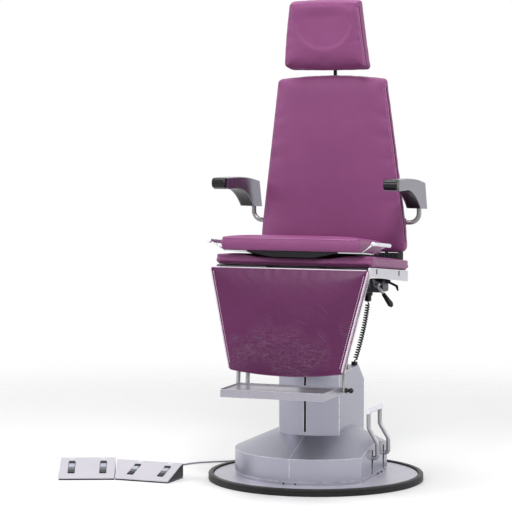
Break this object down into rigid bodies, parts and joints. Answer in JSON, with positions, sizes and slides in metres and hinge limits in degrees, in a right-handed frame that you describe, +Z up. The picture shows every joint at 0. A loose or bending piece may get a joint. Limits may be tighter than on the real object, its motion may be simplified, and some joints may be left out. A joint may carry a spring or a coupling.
{
  "type": "ophthalmic examination chair",
  "caption": "Powered examination chair on a round base: lifting column, padded seat with sliding upper cushion, backrest, headrest, leg rest and foot control.",
  "frame": {"origin": "centre of the round base disc's underside, on the floor", "axes": "+Z up, the chair faces -Y, the foot lever and the curly cord are on the +X side"},
  "size_m": [1.1505, 0.8215, 1.5107],
  "materials": {
    "vinyl": "smooth purple vinyl with a soft sheen",
    "silver": "silver lavender metallic paint, satin",
    "disc_paint": "silver lavender metallic paint, satin",
    "dark_frame": "black textured paint",
    "steel": "bright zinc plated steel",
    "chrome": "polished chrome",
    "polished": "polished cast aluminium",
    "rubber": "black rubber",
    "black_plastic": "fine textured black plastic",
    "grey_plastic": "grey plastic, satin",
    "pale_plastic": "white plastic, gloss",
    "cable": "grey cable sheath"
  },
  "bodies": {
    "base": {"base_disc": "disc_paint", "disc_rim": "rubber", "base_plinth": "silver", "base_cover_left": "silver", "base_cover_right": "silver", "cover_screws": "dark_frame", "column_front_cover": "silver", "column_rear_cover": "silver", "guide_tube": "dark_frame", "lift_motor": "dark_frame", "lever_bearings": "dark_frame", "mains_inlet": "black_plastic", "cord_socket": "black_plastic", "control_housing_left": "grey_plastic", "control_housing_right": "grey_plastic", "control_feet": "rubber", "control_windows": "pale_plastic", "control_cable": "cable", "cable_glands": "black_plastic"},
    "lift": {"lift_tube": "dark_frame", "lift_head": "dark_frame", "cord_clamp": "black_plastic", "curly_cord": "black_plastic"},
    "turntable": {"turntable": "dark_frame", "junction_box": "black_plastic"},
    "hand_lever": {"hand_lever_rod": "steel", "hand_lever_grip": "black_plastic"},
    "release_lever": {"release_lever": "dark_frame"},
    "seat": {"seat_pan": "dark_frame", "side_rails": "silver", "hinge_pins": "steel", "lower_cushion": "vinyl", "gap_pleats": "rubber"},
    "upper_seat": {"slide_dish": "black_plastic", "upper_cushion": "vinyl", "side_handles": "chrome"},
    "leg_rest": {"leg_board": "dark_frame", "leg_cushion": "vinyl"},
    "footrest": {"footrest_posts": "steel", "tray_knob": "black_plastic"},
    "tray": {"foot_tray": "silver"},
    "backrest": {"back_frame": "dark_frame", "back_shell": "silver", "back_cushion": "vinyl"},
    "headrest_bar": {"headrest_post": "dark_frame"},
    "headrest": {"headrest_shell": "black_plastic", "headrest_cushion": "vinyl"},
    "armrest_left": {"armrest_body_left": "polished", "armrest_pads_left": "rubber", "armrest_tube_left": "chrome"},
    "armrest_right": {"armrest_body_right": "polished", "armrest_pads_right": "rubber", "armrest_tube_right": "chrome"},
    "foot_lever": {"foot_lever_frame": "steel", "foot_lever_bar": "polished"},
    "rocker_a": {"rocker_1": "grey_plastic"},
    "rocker_b": {"rocker_2": "grey_plastic"},
    "rocker_c": {"rocker_3": "grey_plastic"},
    "rocker_d": {"rocker_4": "grey_plastic"}
  },
  "joints": [
    {"name": "lift", "type": "slide", "parent": "base", "child": "lift", "axis": [0, 0, 1], "range_m": [-0.18, 0], "deforming": ["curly_cord"]},
    {"name": "swivel", "type": "hinge", "parent": "lift", "child": "turntable", "pos_m": [0, 0.04, 0.592], "axis": [0, 0, 1], "range_deg": [-90, 90]},
    {"name": "seat_tilt", "type": "hinge", "parent": "turntable", "child": "seat", "pos_m": [0, 0.04, 0.646], "axis": [-1, 0, 0], "range_deg": [-3, 8]},
    {"name": "cushion_slide", "type": "slide", "parent": "seat", "child": "upper_seat", "axis": [0, 0.9962, -0.0872], "range_m": [0, 0.06]},
    {"name": "leg_rest", "type": "hinge", "parent": "seat", "child": "leg_rest", "pos_m": [0, -0.22388, 0.67365], "axis": [-1, 0, 0], "range_deg": [0, 75]},
    {"name": "footrest_slide", "type": "slide", "parent": "leg_rest", "child": "footrest", "axis": [0, -0.1219, -0.9925], "range_m": [0, 0.06]},
    {"name": "tray_tilt", "type": "hinge", "parent": "footrest", "child": "tray", "pos_m": [0, -0.2455, 0.317], "axis": [-1, 0, 0], "range_deg": [-10, 20]},
    {"name": "recline", "type": "hinge", "parent": "seat", "child": "backrest", "pos_m": [0, 0.198, 0.69], "axis": [-1, 0, 0], "range_deg": [0, 75]},
    {"name": "headrest_slide", "type": "slide", "parent": "backrest", "child": "headrest_bar", "axis": [0, 0, 1], "range_m": [-0.01, 0.12]},
    {"name": "headrest_tilt", "type": "hinge", "parent": "headrest_bar", "child": "headrest", "pos_m": [0, 0.16632, 1.385], "axis": [-1, 0, 0], "range_deg": [-15, 30]},
    {"name": "armrest_left_lift", "type": "hinge", "parent": "backrest", "child": "armrest_left", "pos_m": [-0.222, 0.195, 0.807], "axis": [-1, 0, 0], "range_deg": [0, 95]},
    {"name": "armrest_right_lift", "type": "hinge", "parent": "backrest", "child": "armrest_right", "pos_m": [0.222, 0.195, 0.807], "axis": [-1, 0, 0], "range_deg": [0, 95]},
    {"name": "hand_lever", "type": "hinge", "parent": "turntable", "child": "hand_lever", "pos_m": [0.181, 0.06, 0.617], "axis": [0, -1, 0], "range_deg": [0, 14]},
    {"name": "release_lever", "type": "hinge", "parent": "turntable", "child": "release_lever", "pos_m": [0.197, 0.132, 0.62], "axis": [0, -1, 0], "range_deg": [0, 14], "stiffness_Nm_per_rad": 0.8},
    {"name": "foot_lever", "type": "hinge", "parent": "base", "child": "foot_lever", "pos_m": [0.155, 0.018, 0.078], "axis": [0, 1, 0], "range_deg": [0, 10]},
    {"name": "rocker_press_a", "type": "hinge", "parent": "base", "child": "rocker_a", "pos_m": [-0.7452, -0.22655, 0.02178], "axis": [0.9272, 0.3746, 0], "range_deg": [-3, 3], "stiffness_Nm_per_rad": 1.5},
    {"name": "rocker_press_b", "type": "hinge", "parent": "base", "child": "rocker_b", "pos_m": [-0.65219, -0.18896, 0.02178], "axis": [0.9272, 0.3746, 0], "range_deg": [-3, 3], "stiffness_Nm_per_rad": 1.5},
    {"name": "rocker_press_c", "type": "hinge", "parent": "base", "child": "rocker_c", "pos_m": [-0.54344, -0.19068, 0.02178], "axis": [0.9993, -0.0366, 0], "range_deg": [-3, 3], "stiffness_Nm_per_rad": 1.5},
    {"name": "rocker_press_d", "type": "hinge", "parent": "base", "child": "rocker_d", "pos_m": [-0.4392, -0.19451, 0.02178], "axis": [0.9993, -0.0366, 0], "range_deg": [-3, 3], "stiffness_Nm_per_rad": 1.5}
  ]
}
